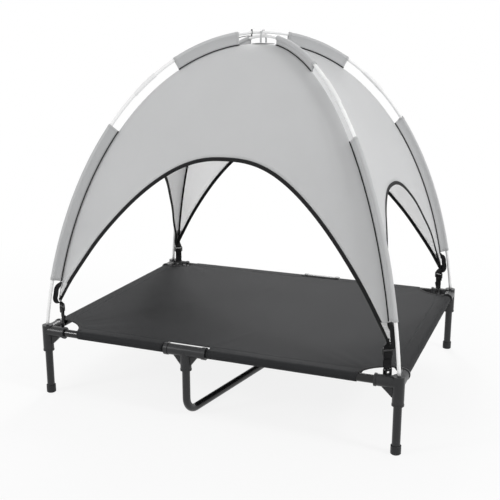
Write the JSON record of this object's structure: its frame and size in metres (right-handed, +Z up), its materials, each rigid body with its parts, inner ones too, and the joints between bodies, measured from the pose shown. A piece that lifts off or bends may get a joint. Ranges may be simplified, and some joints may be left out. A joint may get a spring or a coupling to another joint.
{
  "type": "dog bed with frame",
  "caption": "Raised dog bed with a tube frame on short legs, a taut fabric sling and a lift-off domed shade canopy on crossed poles.",
  "frame": {"origin": "on the floor under the centre of the bed", "axes": "+X along the bed's length, +Y from the front to the back, +Z up"},
  "size_m": [1.219, 0.959, 1.1914],
  "materials": {
    "steel_tube": "dark grey powder coat, satin",
    "frame_plastic": "dark grey moulded plastic, soft gloss",
    "sling_fabric": "charcoal coated woven polyester, matt",
    "pole_white": "white coated glass-fibre tube",
    "ferrule_metal": "white coated joining sleeve",
    "canopy_fabric": "light grey woven polyester, a little silvery",
    "sleeve_fabric": "light grey woven polyester, doubled and sewn",
    "trim_plastic": "black moulded plastic",
    "black_webbing": "black woven webbing and binding"
  },
  "bodies": {
    "bed_frame": {"corner_connector_fl": "frame_plastic", "corner_connector_fr": "frame_plastic", "corner_connector_bl": "frame_plastic", "corner_connector_br": "frame_plastic", "leg_tube_fl": "steel_tube", "leg_tube_fr": "steel_tube", "leg_tube_bl": "steel_tube", "leg_tube_br": "steel_tube", "foot_cap_fl": "frame_plastic", "foot_cap_fr": "frame_plastic", "foot_cap_bl": "frame_plastic", "foot_cap_br": "frame_plastic", "front_rail_left": "steel_tube", "front_rail_right": "steel_tube", "back_rail_left": "steel_tube", "back_rail_right": "steel_tube", "side_rail_left": "steel_tube", "side_rail_right": "steel_tube", "tee_connector_front": "frame_plastic", "tee_connector_back": "frame_plastic", "centre_leg": "steel_tube", "sling": "sling_fabric"},
    "canopy": {"pole_lower_fl": "pole_white", "pole_lower_fr": "pole_white", "pole_lower_bl": "pole_white", "pole_lower_br": "pole_white", "pole_centre_over": "pole_white", "pole_centre_under": "pole_white", "pole_ferrules": "ferrule_metal", "pole_tips": "trim_plastic", "canopy_panel_front": "canopy_fabric", "canopy_panel_right": "canopy_fabric", "canopy_panel_back": "canopy_fabric", "canopy_panel_left": "canopy_fabric", "lower_sleeve_fl": "sleeve_fabric", "lower_sleeve_fr": "sleeve_fabric", "lower_sleeve_bl": "sleeve_fabric", "lower_sleeve_br": "sleeve_fabric", "upper_sleeve_fl": "sleeve_fabric", "upper_sleeve_fr": "sleeve_fabric", "upper_sleeve_bl": "sleeve_fabric", "upper_sleeve_br": "sleeve_fabric", "arch_binding_front": "black_webbing", "arch_binding_right": "black_webbing", "arch_binding_back": "black_webbing", "arch_binding_left": "black_webbing", "seam_tapes": "black_webbing", "corner_loops": "black_webbing", "ladder_locks": "trim_plastic", "strap_fl": "black_webbing", "strap_fr": "black_webbing", "strap_bl": "black_webbing", "strap_br": "black_webbing", "strap_hooks": "trim_plastic", "crown_tie": "black_webbing", "crown_patch": "sleeve_fabric"}
  },
  "joints": [
    {"name": "canopy_lift", "type": "slide", "parent": "bed_frame", "child": "canopy", "axis": [0, 0, 1], "range_m": [0, 0.15]}
  ]
}
